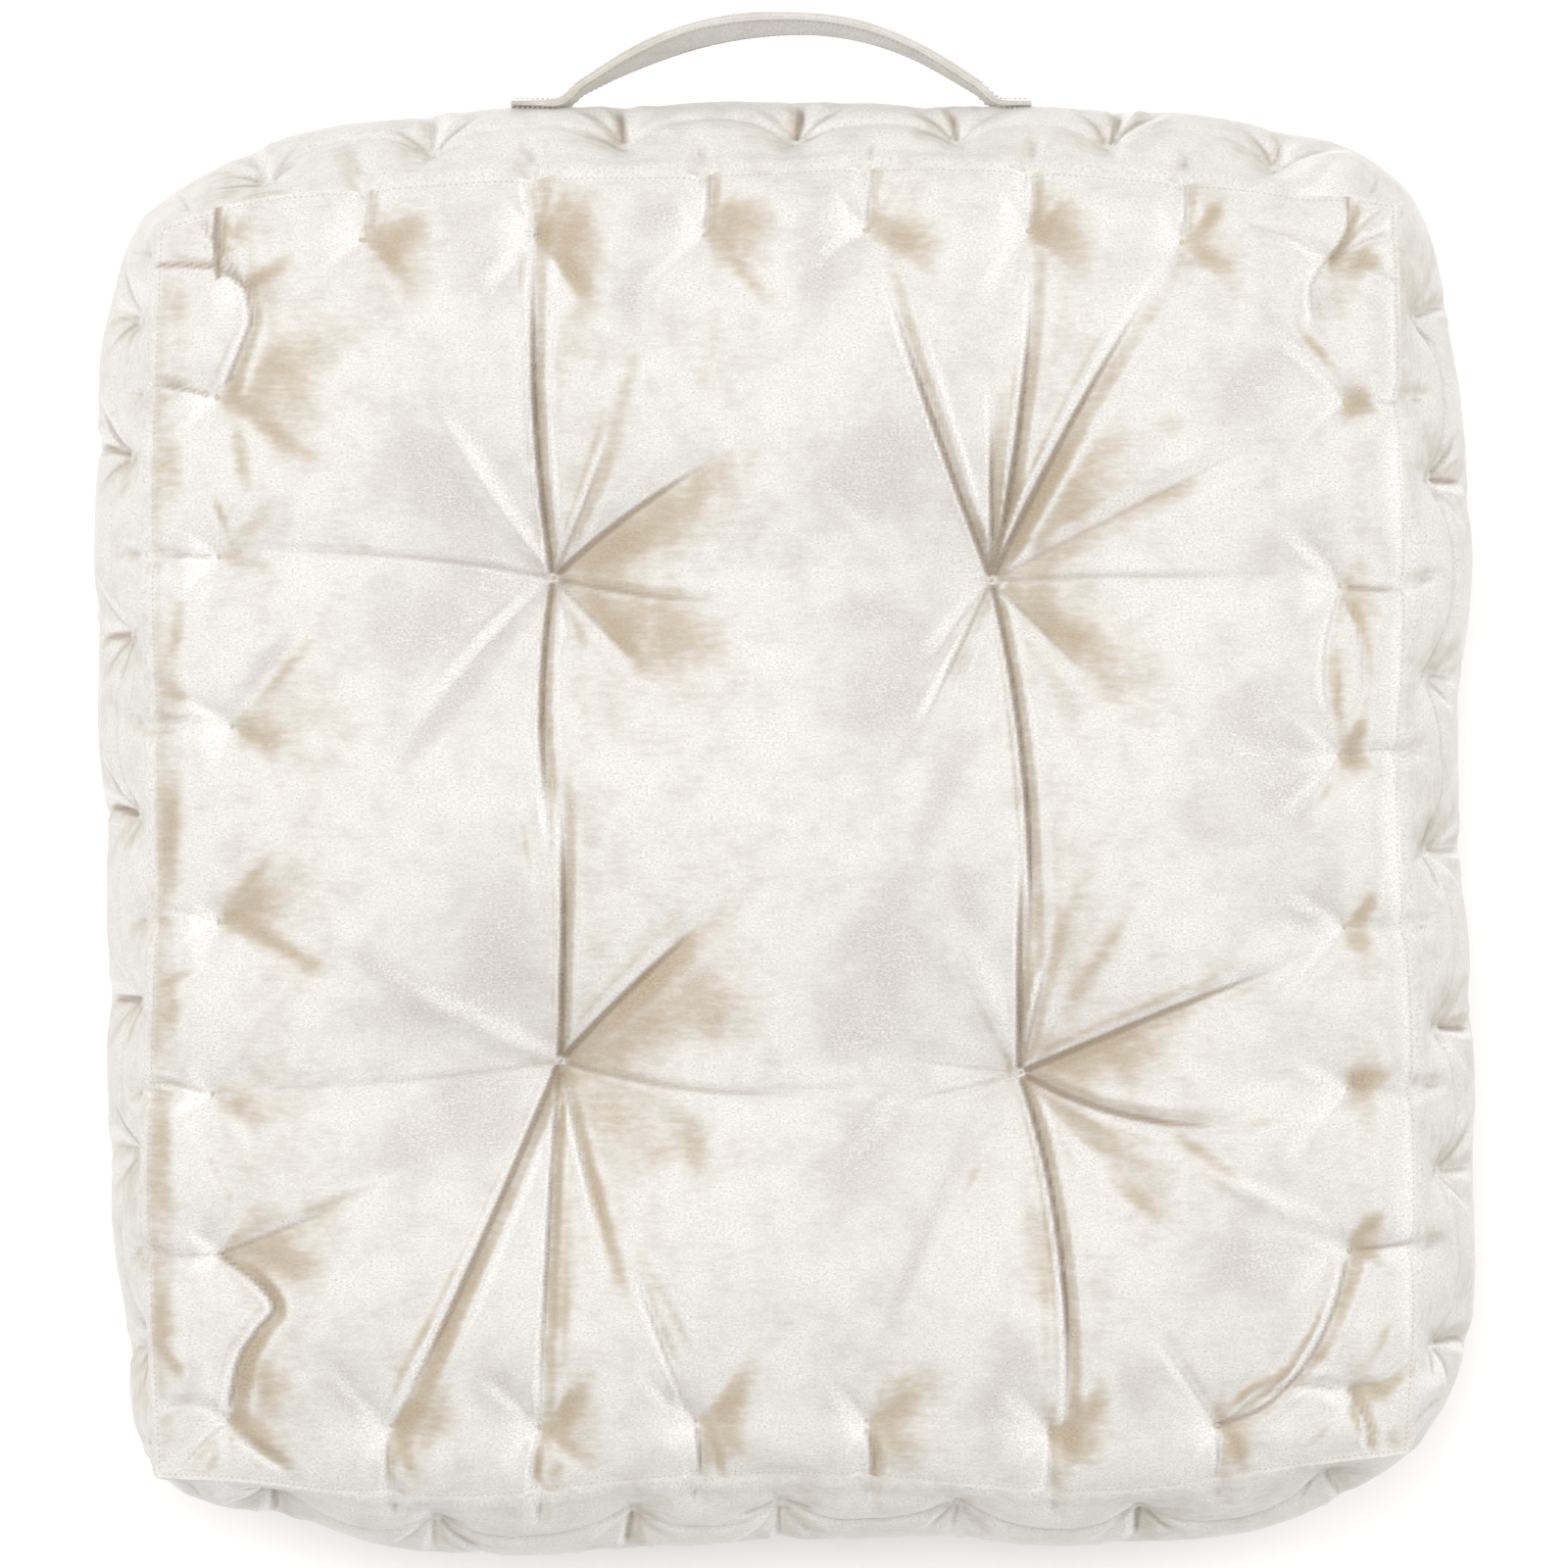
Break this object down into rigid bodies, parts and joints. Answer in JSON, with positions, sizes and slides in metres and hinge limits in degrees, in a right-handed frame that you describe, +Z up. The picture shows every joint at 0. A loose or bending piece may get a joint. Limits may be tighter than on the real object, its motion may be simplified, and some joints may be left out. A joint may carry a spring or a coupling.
{
  "type": "tufted floor pillow",
  "caption": "Square boxed floor pillow with deep through tufts, tacked rim rolls, tacked sides and a carrying strap sewn to its back side.",
  "frame": {"origin": "middle of the underside, on the surface that the pillow lies on", "axes": "+Z up out of the tufted top, +Y towards the side with the carrying strap, +X to the right when the strap is at the back"},
  "size_m": [0.599, 0.6644, 0.127],
  "materials": {
    "ivory_velvet": "crushed ivory velvet with a satin sheen and a beige shade across the pile",
    "strap_velvet": "the same velvet, folded in layers and stitched flat"
  },
  "bodies": {
    "root": {"pillow": "ivory_velvet", "handle_strap": "strap_velvet"}
  },
  "joints": []
}
